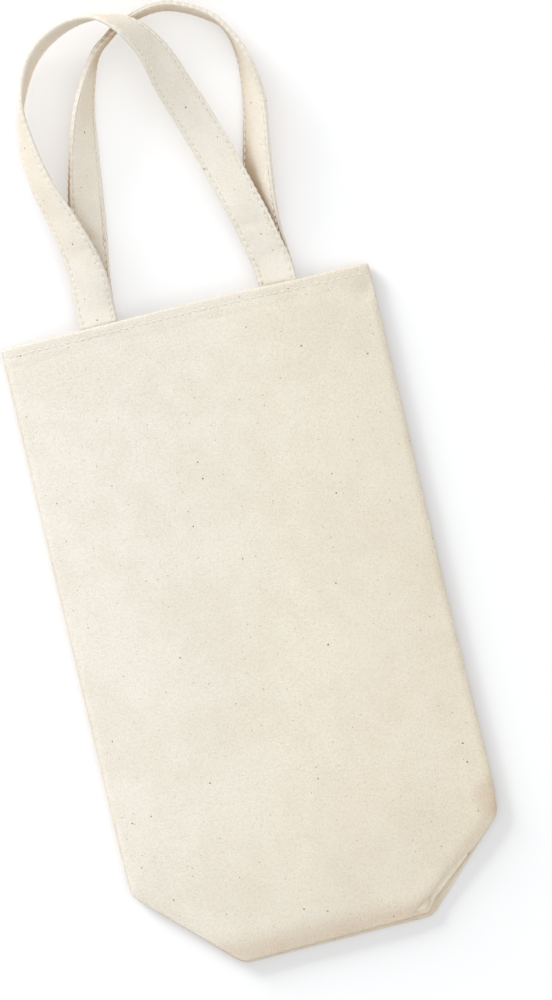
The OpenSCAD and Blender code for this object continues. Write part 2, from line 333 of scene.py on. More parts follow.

# %% [markdown]
# ## Finishes
#
# ### Brushed cotton
#
# The cloth is a plain weave whose nap is brushed up, so the threads show only faintly through a fine fuzz.
# It is cream, a little darker in soft clouds and in the fuzz, and brown flecks of seed husk under a
# millimetre wide are scattered over it. Light and shade are also painted into it: the bag is painted palest
# at its upper left, towards the lamp, and darker cream towards its lower right, and painted shade darkens it
# along the low fold, along the right slant and in the corner above it. Folds, cloth under other cloth and
# the needle holes get painted brown shade, and the two straps' finishes differ only in how far around
# their painted shade looks. The pattern lies on the cut cloth, so it bends with every fold.

# %% The cloth and the thread
STITCH_PITCH = 3.3
PALEST = (0.972, 0.937, 0.86, 1)
# The shaded end of the painted light and shade, at the bag's lower right.
PAINTED_SHADE_CREAM = (0.94, 0.873, 0.732, 1)
CLOUD = (0.93, 0.91, 0.87, 1)
SHADE = (0.90, 0.865, 0.81, 1)
STRAP_PALEST = (0.99, 0.95, 0.862, 1)
# The colour of the painted shade along the folds.
PAINTED_FOLD_SHADE = (0.60, 0.43, 0.28, 1)
# Painted shade in hollows, mild on the bag and deep on the straps.
MILD_CREASE_SHADE = (0.65, 0.53, 0.40, 1)
DEEP_CREASE_SHADE = (0.47, 0.31, 0.17, 1)
HUSK = (0.17, 0.14, 0.095, 1)
PALE_HUSK = (0.46, 0.38, 0.28, 1)
# Painted shade in the needle holes.
PAINTED_PIT_SHADE = (0.42, 0.33, 0.22, 1)
THREAD_PALE = (0.97, 0.94, 0.86, 1)
THREAD_DARK = (0.94, 0.89, 0.79, 1)
WEAVE = 0.62
PLY = 0.42
FLECKS = (
    (1.3, 0.24, 0.10, 0.26, PALE_HUSK), (2.2, 0.30, 0.12, 0.34, PALE_HUSK),
    (5.0, 0.38, 0.15, 0.75, PALE_HUSK), (9.5, 0.46, 0.12, 0.9, HUSK))


def brushed_cotton(name, palest, painted_light_and_shade, folded, holes, hole_share, painted_crease_shade, nap=1.0):
    """Undyed cotton with its nap brushed up, seed flecks, and pits where the needle went through.

    Its tone paints light and shade, from the palest colour on the lit side to cream on the shaded side,
    and its folded mask paints shade along folds. The painted shade in hollows is given by how far around
    the cloth looks for other cloth, the shares of it between which the shade grows, how far, and to which
    colour. The needle pits are painted darker, as shade."""
    cotton = Finish(name)
    across, along = cotton.part("X"), cotton.part("Y")
    clouds = cotton.noise(45, 2) * 0.65 + cotton.noise(11, 2) * 0.35
    fuzz = cotton.noise(0.8, 4, 0.75)
    slubs = cotton.noise(1.6, 3, 0.6)
    threads = (across * (2 * math.pi / WEAVE)).sine() * (along * (2 * math.pi / WEAVE)).sine()
    pits = holes(cotton, across, along)
    # Painted light and shade: palest towards the lamp, cream away from it.
    colour = cotton.blend(painted_light_and_shade(across, along), palest, PAINTED_SHADE_CREAM)
    # Painted shade along the low fold, the right slant and the corner above it.
    colour = cotton.blend(folded(across, along), colour, PAINTED_FOLD_SHADE)
    colour = cotton.deepen(clouds.step(0.38, 0.62) * 0.45, colour, CLOUD)
    rough = (slubs.step(0.42, 0.68) * 0.30 + fuzz.step(0.40, 0.62) * 0.55) * nap
    colour = cotton.deepen(rough, colour, SHADE)
    reach, first, last, share, deep = painted_crease_shade
    # Painted shade in folds and under other cloth, found with ambient occlusion.
    colour = cotton.blend(cotton.painted_occlusion_shade(reach).step(first, last) * share, colour, deep)
    for cell, radius, chance, dark, husk in FLECKS:
        colour = cotton.blend(cotton.flecks(cell, radius, chance) * dark, colour, husk)
    # Painted shade in the needle holes, which the bump also presses in.
    colour = cotton.blend(pits * hole_share, colour, PAINTED_PIT_SHADE)
    relief = threads * 0.2 + fuzz * 2.2 + slubs * 1.5 - pits * (3 * hole_share)
    return cotton.dress(colour, fuzz * 0.12 + 0.84, relief, 0.14)


def sewing_thread(name):
    """Undyed cotton thread of plies twisted together."""
    thread = Finish(name)
    fuzz = thread.noise(0.35, 3)
    twist = ((thread.part("X") + thread.part("Y")) * (2 * math.pi / PLY)).sine()
    colour = thread.blend(fuzz.step(0.3, 0.75) * 0.6, THREAD_PALE, THREAD_DARK)
    return thread.dress(colour, fuzz * 0.1 + 0.7, twist * 0.5 + fuzz, 0.05)


ROW_IN = 1.8
STRAP_W = 17.5
STRAP_T = 2.2
STRAP_FLAT = STRAP_W - STRAP_T
SIDE_ROUND = 3.3
STRAP_ROW = STRAP_W / 2 - ROW_IN
ROW_START = 2
HEM_START = -HALF_W + 2
HEM_ROW_CUT = CLOTH / 2 + 0.54 - HEM_ROW
LOW_FOLD = 1.5 - BAG_H
TIP_UP = 40
SLANT_IN = (0.66, 0.75)
DARK_CORNER_UP = 46


def bag_painted_light_and_shade(across, along):
    """Painted light and shade: from the palest at the upper left, towards the lamp, to cream at the lower
    right.
    """
    return (across * (0.5 / HALF_W) - along * (0.45 / BAG_H) + 0.275).step(-0.15, 1.15)


def bag_painted_fold_shade(across, along):
    """How much painted shade darkens the cloth towards the low fold, the right slant and the corner above it.
    """
    up = along - LOW_FOLD
    right = HALF_W - across
    slant = right * SLANT_IN[0] + (up - TIP_UP) * SLANT_IN[1]
    tip = right * right + (up - DARK_CORNER_UP) * (up - DARK_CORNER_UP)
    low = up.step(-1.5, 0.5) * (up - right * 0.025).step(13, 0)
    return low * 0.34 + slant.step(-1, 1) * slant.step(6, 1) * 0.15 + tip.step(160, 10) * 0.36


def bag_holes(cotton, across, along):
    """Pits along the hem's row, which is at the same place on both panels."""
    return cotton.needle_holes(across, along, HEM_START, [HEM_ROW_CUT])


def untinted(across, along):
    """The same all over."""
    return 0.0


def strap_holes(cotton, across, along):
    """Pits along both edges of a strap, on both its faces."""
    faces = (STRAP_FLAT / 2, STRAP_FLAT * 1.5 + SIDE_ROUND)
    rows = [middle + side * STRAP_ROW for middle in faces for side in (-1, 1)]
    return cotton.needle_holes(across, along, ROW_START, rows)


bag_cotton = brushed_cotton(
    "bag_cotton", PALEST, bag_painted_light_and_shade, bag_painted_fold_shade, bag_holes, hole_share=0.12, painted_crease_shade=(9, 0.03, 0.3, 0.55, MILD_CREASE_SHADE))
# The two straps differ only in how far around their painted shade in hollows looks.
strap_cotton = {
    side: brushed_cotton(
        side + "_strap_cotton", STRAP_PALEST, untinted, untinted, strap_holes,
        hole_share=0.42, painted_crease_shade=painted_crease_shade, nap=0.65)
    for side, painted_crease_shade in (("front", (15, 0.3, 0.8, 0.45, DEEP_CREASE_SHADE)), ("back", (30, 0.28, 0.54, 0.8, DEEP_CREASE_SHADE)))}
thread_finish = sewing_thread("thread")
print("Finishes:", ", ".join(material.name for material in bpy.data.materials))

# %% [markdown]
# The table must read as white without more light on the bag. Its own colour is a pale grey, and rays from
# the camera or from glossy surfaces also see a little glow, so lit table goes to white and shadow stays.
# Diffuse rays meet a paler and warmer table, which warms the cloth that it sends light back to.

# %% The table
TABLE_GREY = (0.625, 0.63, 0.636, 1)
TABLE_WARM = (0.81, 0.715, 0.60, 1)
TABLE_GLOW = 0.2
TABLE_SIZE = 6
TABLE_DROP = 0.1

bpy.ops.mesh.primitive_plane_add(size=TABLE_SIZE, location=(0, 0, -TABLE_DROP * MM))
table = bpy.context.object
table.name = "table"
surface = Finish("table")
from_cloth = surface.node("ShaderNodeLightPath", output="Is Diffuse Ray")
for name, value in (
        ("Base Color", surface.blend(from_cloth, TABLE_GREY, TABLE_WARM)), ("Roughness", 0.9),
        ("Specular IOR Level", 0.0)):
    surface.feed(surface.shader.inputs[name], value)
seen = surface.node("ShaderNodeLightPath", output="Is Camera Ray")
mirrored = surface.node("ShaderNodeLightPath", output="Is Glossy Ray")
glow = surface.node("ShaderNodeEmission", inputs={"Strength": (seen + mirrored) * TABLE_GLOW})
both = surface.node("ShaderNodeAddShader", inputs={0: Wire(surface, surface.shader.outputs[0]), 1: glow})
surface.links.new(both.socket, surface.nodes["Material Output"].inputs["Surface"])
table.data.materials.append(surface.material)

# %% [markdown]
# ## Cutting and laying cloth
#
# Cloth starts as a flat grid, as it is cut. Each of its points is then moved to where sewing and folding
# bring it, and its flat place is kept as the UV map, so the weave follows the cloth. Grids that share an
# edge are joined and merged there, and Solidify gives the cloth its thickness at the end.

# %% Helpers for cloth
def pick(*pieces):
    """Selects these objects only, the first of them active."""
    bpy.ops.object.select_all(action="DESELECT")
    for piece in pieces:
        piece.select_set(True)
    bpy.context.view_layer.objects.active = pieces[0]


@contextmanager
def editing_all():
    """Edit mode, with all of the active piece selected."""
    bpy.ops.object.mode_set(mode="EDIT")
    bpy.ops.mesh.select_all(action="SELECT")
    yield
    bpy.ops.object.mode_set(mode="OBJECT")


def modify(piece, kind, **settings):
    """Applies a modifier with these settings to a piece."""
    pick(piece)
    bpy.ops.object.modifier_add(type=kind)
    for name, value in settings.items():
        setattr(piece.modifiers[-1], name, value)
    bpy.ops.object.modifier_apply(modifier=piece.modifiers[-1].name)


def vertices_of(piece):
    """The places of a piece's vertices."""
    places = np.empty(len(piece.data.vertices) * 3)
    piece.data.vertices.foreach_get("co", places)
    return places.reshape(-1, 3)


def move_vertices(piece, places):
    """Moves a piece's vertices to these places."""
    piece.data.vertices.foreach_set("co", places.ravel())
    piece.data.update()


def lay_pattern(piece, cut):
    """Makes the flat place of each vertex, in metres, the UV map."""
    corner = np.empty(len(piece.data.loops), int)
    piece.data.loops.foreach_get("vertex_index", corner)
    piece.data.uv_layers.active.data.foreach_set("uv", cut[corner].ravel())


def cloth_grid(name, places, cut):
    """A grid of cloth at places, in bag millimetres, whose flat places are cut, in millimetres."""
    rows, columns = places.shape[:2]
    bpy.ops.mesh.primitive_grid_add(x_subdivisions=columns - 1, y_subdivisions=rows - 1, size=1)
    piece = bpy.context.object
    piece.name = name
    piece.data.name = name
    flat = vertices_of(piece) + 0.5
    column = np.rint(flat[:, 0] * (columns - 1)).astype(int)
    row = np.rint(flat[:, 1] * (rows - 1)).astype(int)
    move_vertices(piece, in_frame(places[row, column]))
    lay_pattern(piece, np.asarray(cut, float)[row, column] * MM)
    return piece


def joined(name, *pieces):
    """Several objects as one, under one name."""
    pick(*pieces)
    if len(pieces) > 1:
        bpy.ops.object.join()
    bpy.context.object.name = name
    return bpy.context.object


def sewn(name, *grids):
    """Joins grids that share edges into one piece of cloth, all its faces turned one way."""
    piece = joined(name, *grids)
    with editing_all():
        bpy.ops.mesh.remove_doubles(threshold=0.01 * MM)
        bpy.ops.mesh.normals_make_consistent(inside=False)
    return piece


def finish_piece(piece, finish, slot, *nodes):
    """Gives a piece its finish and hides the plain solids that it stands for. The slot is not used."""
    piece.data.materials.clear()
    piece.data.materials.append(finish)
    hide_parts(*nodes)
    print(piece.name, "has", len(piece.data.polygons), "faces")


# %% [markdown]
# ## Outline of the folded bag
#
# The sides run straight down to the tips, where the slanted corners of the folded base begin. The two
# panels are folded apart, so the back's folds show a little past the front's along the bottom and most of
# all at the lower right, where the front's corner is pinched in.

# %% The outline
ROLL = 0.35
INSET = CLOTH / 2 + ROLL
CORNER_SHARE = 0.62
SHORTEST_SLANT = 12


def unit(ways):
    """Directions drawn out or in to a length of 1."""
    return ways / np.linalg.norm(ways, axis=-1, keepdims=True)


def gone_along(path):
    """How far along its path each place lies."""
    return np.concatenate([[0], np.cumsum(np.linalg.norm(np.diff(path, axis=0), axis=1))])


def at_length(length, gone, values):
    """What the values along a path are after those lengths of it."""
    return np.stack([np.interp(length, gone, column) for column in values.T], axis=-1)


def rounded_path(corners, rounding, step=0.25):
    """A path through corners in millimetres, each rounded off by its own length."""
    path = [corners[0]]
    for before, corner, after, reach in zip(corners, corners[1:], corners[2:], rounding):
        start = corner + unit(before - corner) * reach
        end = corner + unit(after - corner) * reach
        for t in np.linspace(0, 1, 9):
            path.append((1 - t) ** 2 * start + 2 * t * (1 - t) * corner + t ** 2 * end)
    path.append(corners[-1])
    path = np.array(path)
    gone = gone_along(path)
    return at_length(np.arange(0, gone[-1], step), gone, path)


class Outline:
    """The folded lower edge of one panel, inset to where its cloth starts to roll over.

    The corners run from the left tip round the bottom to the right tip, and low says which edge is the
    bottom one."""

    def __init__(self, corners, low, rounding):
        up = np.array([0, 60])
        corners = np.array([corners[0] + up, *corners, corners[-1] + up], float)
        run = unit(np.diff(corners, axis=0))
        inward = np.stack([-run[:, 1], run[:, 0]], axis=1)
        starts = corners[:-1] + inward * INSET
        inner = []
        for p, a, q, b in zip(starts, run, starts[1:], run[1:]):
            inner.append(p + a * np.linalg.solve(np.array([a, -b]).T, q - p)[0])
        inner = [inner[0] + up, *inner, inner[-1] + up]
        lines = list(zip(starts, inward, np.linalg.norm(np.diff(corners, axis=0), axis=1)))
        self.sides = lines[0], lines[-1]
        self.slants = [line for k, line in enumerate(lines[1:-1], 1) if k != low and line[2] > SHORTEST_SLANT]
        self.bottom = lines[low]
        self.path = rounded_path(inner, rounding)
        self.gone = gone_along(self.path)
        self.knots = [self.gone[np.argmin(np.linalg.norm(self.path - inner[k], axis=1))]
                      for k in (1, low, low + 1, len(inner) - 2)]

    def at(self, share):
        """The place on the lower edge for columns that run from -1 to 1."""
        along = np.interp(share, [-1, -CORNER_SHARE, CORNER_SHARE, 1], self.knots)
        return at_length(along, self.gone, self.path)

    def depth(self, x, y):
        """Distances in from the sides, the slants and the bottom."""
        nearest = lambda lines: np.minimum.reduce(
            [(x - start[0]) * inward[0] + (y - start[1]) * inward[1] for start, inward, _ in lines])
        return nearest(self.sides), nearest(self.slants), nearest([self.bottom])

    def swell(self, x, y, runs):
        """How far the cloth has swelled, 0 along the edges and 1 well inside."""
        side, slant, low = self.depth(x, y)
        return pillow(side / runs[0]) * pillow(slant / runs[1]) * pillow(low / runs[2])

    def near(self, x, y, run):
        """0 along the edges, and 1 from that distance inwards."""
        return pillow(np.minimum.reduce(self.depth(x, y)) / run)


CROWN_RUNS = (55, 55, 55)
FOLD_RUNS = (2.6, 6, 9)
front_outline = Outline(
    [(-HALF_W, 40.8), (-43.0, -0.3), (44.5, 1.9), (47.6, 7.2), (72, 27.4), (HALF_W, 40.0)],
    2, (3, 3, 1.6, 3, 3, 5))
back_outline = Outline([(-HALF_W, 40.8), (-42.6, -1.1), (45.4, 0.3), (HALF_W, 39.6)], 2, (3, 4, 3, 5))

# %% [markdown]
# ## Heights of the two panels
#
# The front panel rises softly from its edges, and turns down more steeply along its folds. Its hem is
# pressed in along the row of stitches, the mouth stands up a little where the straps' ends lie under it, and
# there is one dent by the right edge below the hem. The right slant is pressed down, with a crease along its
# lower half. The back panel lies flat on the table, and its edges curl up to the front's, but its rolled
# edge slopes down to the table along the low folds. Between them are the folded halves of the base.

# %% Heights
MOUTH_RUN = 70
MOUTH_LIFT = 0.35
MOUTH_SHARE = 0.93
foot_low, foot_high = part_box("front_handle_ends")
FOOT_SPACING = (foot_high.x - foot_low.x) / MM - STRAP_W
FOOT_MIDDLE = (foot_high.x + foot_low.x) / 2 / MM
TAIL = BAG_H - (foot_low.y - FOLD_Y) / MM
FRONT_FOOT_Z = (foot_low.z + foot_high.z) / 2 / MM
back_low, back_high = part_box("back_handle_ends")
BACK_FOOT_Z = (back_low.z + back_high.z) / 2 / MM
REACH = 136.0
BEND_OUT = 4.7
WAVES = ((0.42, 62, 3.1), (0.24, 27, 7.7), (0.09, 9, 1.3))
DENT_X = 83.5
DENT_DOWN = 11
DENT_WIDE = 7
DENT_LONG = 5
DENT_DEEP = 2
LIP_W = 3


def over_feet(x, soft=2.5):
    """1 over the sewn-in ends of a handle and 0 beside them."""
    far = np.minimum(abs(x - FOOT_MIDDLE - FOOT_SPACING / 2), abs(x - FOOT_MIDDLE + FOOT_SPACING / 2))
    return ease((STRAP_W / 2 + soft - far) / (2 * soft) + 0.2)


def pressed_down(x, y):
    """How far the front is pressed down by its right slant, and by the right half of its low fold."""
    _, slant, low = front_outline.depth(x, y)
    crease = 0.6 * bump(slant - 1.6, 1.1) * ease((68 - x) / 16)
    slope = 0.95 * (1 - ease(slant / 7)) * (0.4 + 0.6 * ease((76 - x) / 20))
    groove = 0.3 * bump(low - 1.7, 1.3) * ease((x - 10) / 25)
    return (crease + slope) * ease((x - 30) / 14) + groove


def front_height(x, y):
    """Height of the middle of the front panel's cloth."""
    down = BAG_H - y
    lower = 1 - (1 - MOUTH_SHARE) * ease(1 - down / MOUTH_RUN)
    rise = CROWN * lower * front_outline.swell(x, y, CROWN_RUNS)
    turn_down = FOLD_DROP * (1 - front_outline.swell(x, y, FOLD_RUNS))
    waves = sum(high * ripple(x, y, size, seed) for high, size, seed in WAVES) * front_outline.near(x, y, 14)
    hem = -0.12 * bump(down - HEM_ROW, 1.3) - 0.14 * bump(down - HEM_W, 1.6)
    feet = 0.4 * over_feet(x) * ease(1 - (down - 1) / 5)
    dent = bump(np.hypot((x - DENT_X) / DENT_WIDE, (down - DENT_DOWN) / DENT_LONG), 1)
    dent = -DENT_DEEP * dent * (0.12 + 0.88 * front_outline.near(x, y, 3.5))
    return EDGE_TOP - CLOTH / 2 + rise - turn_down + waves + hem + feet + dent - pressed_down(x, y)


def lip(x, y):
    """1 along the back's folds, whose rolled edge slopes down to the table, and 0 well inside them."""
    _, slant, low = back_outline.depth(x, y)
    return (1 - ease(np.minimum(slant, low) / LIP_W)) * (1 - ease((y - 28) / 10))


def back_height(x, y):
    """Height of the middle of the back panel's cloth, which never dips below the table."""
    down = BAG_H - y
    waves = 0.12 * (1 + ripple(x, y, 30, 4.4)) * back_outline.near(x, y, 14)
    lift = EDGE_LIFT * (1 - back_outline.swell(x, y, (16, 16, 16))) + MOUTH_LIFT * ease(1 - down / MOUTH_RUN)
    curl = FOLD_DROP * (1 - back_outline.swell(x, y, FOLD_RUNS)) * ease(down / 12)
    return CLOTH / 2 + lift + curl + waves + 0.25 * bump(down - HEM_ROW, 1.1) - 1.1 * lip(x, y)


def base_height(x, y, up):
    """Height of the middle of one folded half of the base, up being 1 for the front's half."""
    rise = BASE_RISE * CROWN * front_outline.swell(x, y, CROWN_RUNS)
    return MIDDLE_Z + rise + up * (CLOTH / 2 + 0.03) - (up < 0) * lip(x, y)


# %% [markdown]
# ## The panels
#
# Each panel is one cut of cloth. Its hem is turned in at the mouth, and below it the face runs down to the
# bottom folds. All along its outline the cloth rolls over and goes on inside: on the sides as the seam
# allowance, and at the bottom as its half of the folded base. The face is one grid, all past it is a second
# grid that follows its border, and the two are sewn together there.

# %% The front and back panels
COLUMNS = 90
FULL_ROWS_Y = 50
HEM_GAP = 0.12
HEM_NARROW = 0.985
FINE_ROWS = 16
RIM_SHARES = (0.02, 0.045, 0.07, 0.1, 0.14, 0.3, 0.5, 0.75, 1)
BASE_SPREAD = 1.12
fold_r = (CLOTH + HEM_GAP) / 2
fold_y = BAG_H - CLOTH / 2 - fold_r
shares = np.sin(np.linspace(-math.pi / 2, math.pi / 2, 2 * COLUMNS + 1))


def lay_panel(name, up, height, outline):
    """One panel of the bag, front where up is 1 and back where it is -1."""
    across = shares * (HALF_W - INSET)
    rows, cut = [], []

    def add(y, z, flat, x=across):
        rows.append(np.stack([x, np.full_like(x, y), z], axis=1))
        cut.append(np.stack([across, np.full_like(across, flat)], axis=1))

    def face_z(y):
        return height(across, np.full_like(across, y))

    for y in np.arange(fold_y - HEM_W + 1, fold_y, 1):
        add(y, face_z(y) - up * 2 * fold_r, math.pi * fold_r + fold_y - y, across * HEM_NARROW)
    for angle in np.radians([-75, -50, -25, 0, 25, 50, 75]):
        if angle == 0:
            first = len(rows)
        add(fold_y + fold_r * math.cos(angle), face_z(fold_y) - up * fold_r * (1 - math.sin(angle)),
            fold_r * (math.pi / 2 - angle), across * (HEM_NARROW if angle < 0 else 1))
    near_hem = np.arange(fold_y, fold_y - FINE_ROWS, -0.5)
    for y in np.concatenate([near_hem, np.linspace(fold_y - FINE_ROWS, FULL_ROWS_Y, 110)]):
        add(y, face_z(y), y - fold_y)
    low_edge = outline.at(shares)
    top = np.stack([across, np.full_like(across, FULL_ROWS_Y)], axis=1)
    for share in np.sin(np.linspace(0, math.pi / 2, 29))[1:]:
        p = top + (low_edge - top) * share
        rows.append(np.column_stack([p, height(p[:, 0], p[:, 1])]))
        cut.append(p - [0, fold_y])
    rows, cut = np.array(rows), np.array(cut)
    face = cloth_grid(name + "_face", settle(rows), cut)
    border = np.concatenate([rows[first:, 0], rows[-1, 1:-1], rows[first:, -1][::-1]])
    border_cut = np.concatenate([cut[first:, 0], cut[-1, 1:-1], cut[first:, -1][::-1]])
    return sewn(name, face, lay_rim(name + "_rim", up, border, border_cut))


def lay_rim(name, up, border, border_cut):
    """The cloth past a panel's border: it rolls over and goes on inside the bag."""
    at = border[:, :2]
    run = unit(np.gradient(at, axis=0))
    outward = np.stack([run[:, 1], -run[:, 0]], axis=1)
    allowance = 2 + (SEAM_W - 2) * ease((BAG_H - HEM_W - at[:, 1]) / 4)
    side_goal = np.stack([np.sign(at[:, 0]) * (HALF_W - allowance), at[:, 1]], axis=1)
    inner_x = HALF_W - SEAM_W
    base_goal = np.stack(
        [np.clip(at[:, 0] * BASE_SPREAD, -inner_x, inner_x), np.full(len(at), FOLD_IN + SEAM_W)], axis=1)
    goal = np.where((at[:, 1] > FULL_ROWS_Y)[:, None], side_goal, base_goal)
    low_z = base_height(at[:, 0], at[:, 1], up)
    middle, tall = (border[:, 2] + low_z) / 2, (border[:, 2] - low_z) / 2
    rings = [border]
    for angle in np.radians([55, 20, -20, -55, -90]):
        spot = at + outward * ROLL * math.cos(angle)
        rings.append(np.column_stack([spot, middle + tall * math.sin(angle)]))
    for share in RIM_SHARES:
        spot = at + (goal - at) * share
        rings.append(np.column_stack([spot, base_height(spot[:, 0], spot[:, 1], up)]))
    gone = np.cumsum(np.linalg.norm(np.diff(rings, axis=0), axis=2), axis=0)
    cuts = np.concatenate([[border_cut], border_cut + outward * gone[..., None]])
    return cloth_grid(name, settle(rings), cuts)


front_cloth = lay_panel("front_cloth", 1, front_height, front_outline)
back_cloth = lay_panel("back_cloth", -1, back_height, back_outline)
for piece, nodes in ((front_cloth, ("front_panel", "front_hem")), (back_cloth, ("back_panel", "back_hem"))):
    modify(piece, "SOLIDIFY", thickness=CLOTH * MM, offset=0, use_even_offset=False)
    bpy.ops.object.shade_smooth()
    finish_piece(piece, bag_cotton, "bag_cotton", *nodes)
    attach(piece, "bag")


def only(name, *pieces):
    """A collection of what a lamp lights, or of what shades it."""
    group = bpy.data.collections.new(name)
    for piece in pieces:
        group.objects.link(piece)
    return group


table_lamp.light_linking.receiver_collection = only("lit_by_table_lamp", table)
table_lamp.light_linking.blocker_collection = only("shading_table_lamp", front_cloth, back_cloth)

# %% [markdown]
# ## Straps and rows of thread on a route
#
# A strap is made straight on the bench, with X along it, Y across it and Z out of its face, and then laid
# along its route. A Route holds places along a line with the way across and the way out at each of them.
# Stitches are laid by the same helper, so they turn and twist with the cloth that they hold.

# %% A route, and laying a straight piece along it
class Route:
    """A line in bag millimetres with the direction across it and out of it all the way."""

    def __init__(self, at, across, out, gone=None):
        self.at, self.across, self.out = (np.asarray(v, float) for v in (at, across, out))
        self.gone = gone_along(self.at) if gone is None else gone
        self.long = self.gone[-1]

    def lay(self, piece):
        """Moves each vertex of a straight piece, in millimetres, to its place along the route."""
        flat = vertices_of(piece)
        at, across, out = (at_length(flat[:, 0], self.gone, v) for v in (self.at, self.across, self.out))
        move_vertices(piece, in_frame(at + across * flat[:, 1:2] + out * flat[:, 2:3]))
        return piece


# %% [markdown]
# A stitch comes up through a hole, lies on the cloth and goes down again. One is modelled as a slim ball,
# drawn down at both ends, and Array repeats it along the row. Real stitches are never quite alike, so each
# is then turned and shifted by a hair.

# %% Rows of stitches
STITCH_LONG = 2.45
THREAD_R = 0.33
STITCH_DIP = 0.34
STRAY_TURN = 0.055
STRAY_ASIDE = 0.05
STRAY_ALONG = 0.08
rng = np.random.default_rng(8513)


def stitch_row(name, start, stop, across, out):
    """A straight row of stitches along X, on the underside where out is below 0."""
    bpy.ops.mesh.primitive_uv_sphere_add(segments=8, ring_count=8, radius=1, rotation=(0, math.pi / 2, 0))
    row = bpy.context.object
    row.name = name
    bpy.ops.object.transform_apply(location=False, rotation=True, scale=False)
    one = vertices_of(row)
    x = one[:, 0].copy()
    body = np.sqrt(np.maximum(0, 1 - x ** 4)) / np.sqrt(np.maximum(1e-9, 1 - x ** 2))
    one[:, 1:] *= np.where(abs(x) > 0.999, 1, body)[:, None] * THREAD_R
    one[:, 2] -= STITCH_DIP * abs(x) ** 4
    one[:, 0] *= STITCH_LONG / 2
    one[:, 2] *= math.copysign(1, out)
    move_vertices(row, one)
    count = max(1, int((stop - start) / STITCH_PITCH))
    modify(row, "ARRAY", count=count, use_relative_offset=False, use_constant_offset=True,
           constant_offset_displace=(STITCH_PITCH, 0, 0))
    stitches = vertices_of(row).reshape(count, -1, 3)
    turn = rng.normal(0, STRAY_TURN, count)[:, None]
    stitches[..., 1] += turn * (stitches[..., 0] - STITCH_PITCH * np.arange(count)[:, None])
    stitches[..., 1] += across + rng.normal(0, STRAY_ASIDE, count)[:, None]
    stitches[..., 0] += start + STITCH_PITCH / 2 + rng.normal(0, STRAY_ALONG, count)[:, None]
    stitches[..., 2] += out
    move_vertices(row, stitches)
    if out < 0:
        with editing_all():
            bpy.ops.mesh.flip_normals()
    bpy.ops.object.shade_smooth()
    return row


def laid_row(route, name, start, stop, across, out):
    """A row of stitches along a route, with the thread's pattern laid by place while it is straight."""
    row = stitch_row(name, start, stop, across, out)
    lay_pattern(row, vertices_of(row)[:, :2] * MM)
    return route.lay(row)


# %% [markdown]
# ## Topstitching along the hem
#
# One row runs right round the mouth, 4 mm below its edge. It shows outside, and its other side shows on the
# turned-in hem, so each panel has two rows.

# %% Hem topstitching
HEM_PROUD = 0.02


def hem_route(height, lift):
    """The row's line on a panel, lift above the middle of its cloth."""
    x = np.linspace(HEM_START, -HEM_START, 300)
    y = np.full_like(x, BAG_H - HEM_ROW)
    z = height(x, y)
    slope = np.gradient(z, x)
    out = unit(np.stack([-slope, np.zeros_like(x), np.ones_like(x)], axis=1))
    at = settle(np.stack([x, y, z], axis=1)) + out * lift
    return Route(at, np.tile([0.0, 1.0, 0.0], (len(x), 1)), out, gone=x - HEM_START)


def hem_stitching(name, height, up):
    """The two rows of a panel's hem: on its face, and on the turned-in hem inside."""
    outer = hem_route(height, up * CLOTH / 2)
    inner = hem_route(height, -up * (2 * fold_r + CLOTH / 2))
    rows = [laid_row(route, name, 0, route.long, 0, HEM_PROUD * side)
            for route, side in ((outer, up), (inner, -up))]
    return joined(name, *rows)


for name, height, up, node in (
        ("front_hem_thread", front_height, 1, "front_hem_stitching"),
        ("back_hem_thread", back_height, -1, "back_hem_stitching")):
    hem_thread = hem_stitching(name, height, up)
    finish_piece(hem_thread, thread_finish, "thread", node)
    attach(hem_thread, "bag")

# %% [markdown]
# ## The straps
#
# A strap is cloth folded lengthwise in four and sewn along both edges. Its left edge is one fold, its right
# edge is two folds that meet, and the cloth is drawn in along both rows of stitches. It is lofted straight
# from its cross-section, with a few soft creases across it, and then laid along its route.

# %% The straight strap
FOLD_R = STRAP_T / 4
RING_STEP = STITCH_PITCH / 6


def strap_section():
    """The strap's cross-section as points across and out, counter-clockwise from the right edge."""
    flat = STRAP_FLAT / 2
    top_a = np.linspace(flat, -flat, 41)
    top_b = STRAP_T / 2 - 0.3 * bump(abs(top_a) - STRAP_ROW, 0.5) + 0.1 * np.cos(top_a / flat * math.pi / 2)
    left = [(-flat - STRAP_T / 2 * math.cos(t), STRAP_T / 2 * math.sin(t))
            for t in np.radians([60, 30, 0, -30, -60])]
    right = [(flat + FOLD_R + FOLD_R * math.cos(t), middle + FOLD_R * math.sin(t))
             for middle in (-FOLD_R, FOLD_R) for t in np.radians([-60, -20, 20, 60])]
    top = list(zip(top_a, top_b))
    bottom = [(-a, -b) for a, b in top]
    return np.array(top + left + bottom + right)


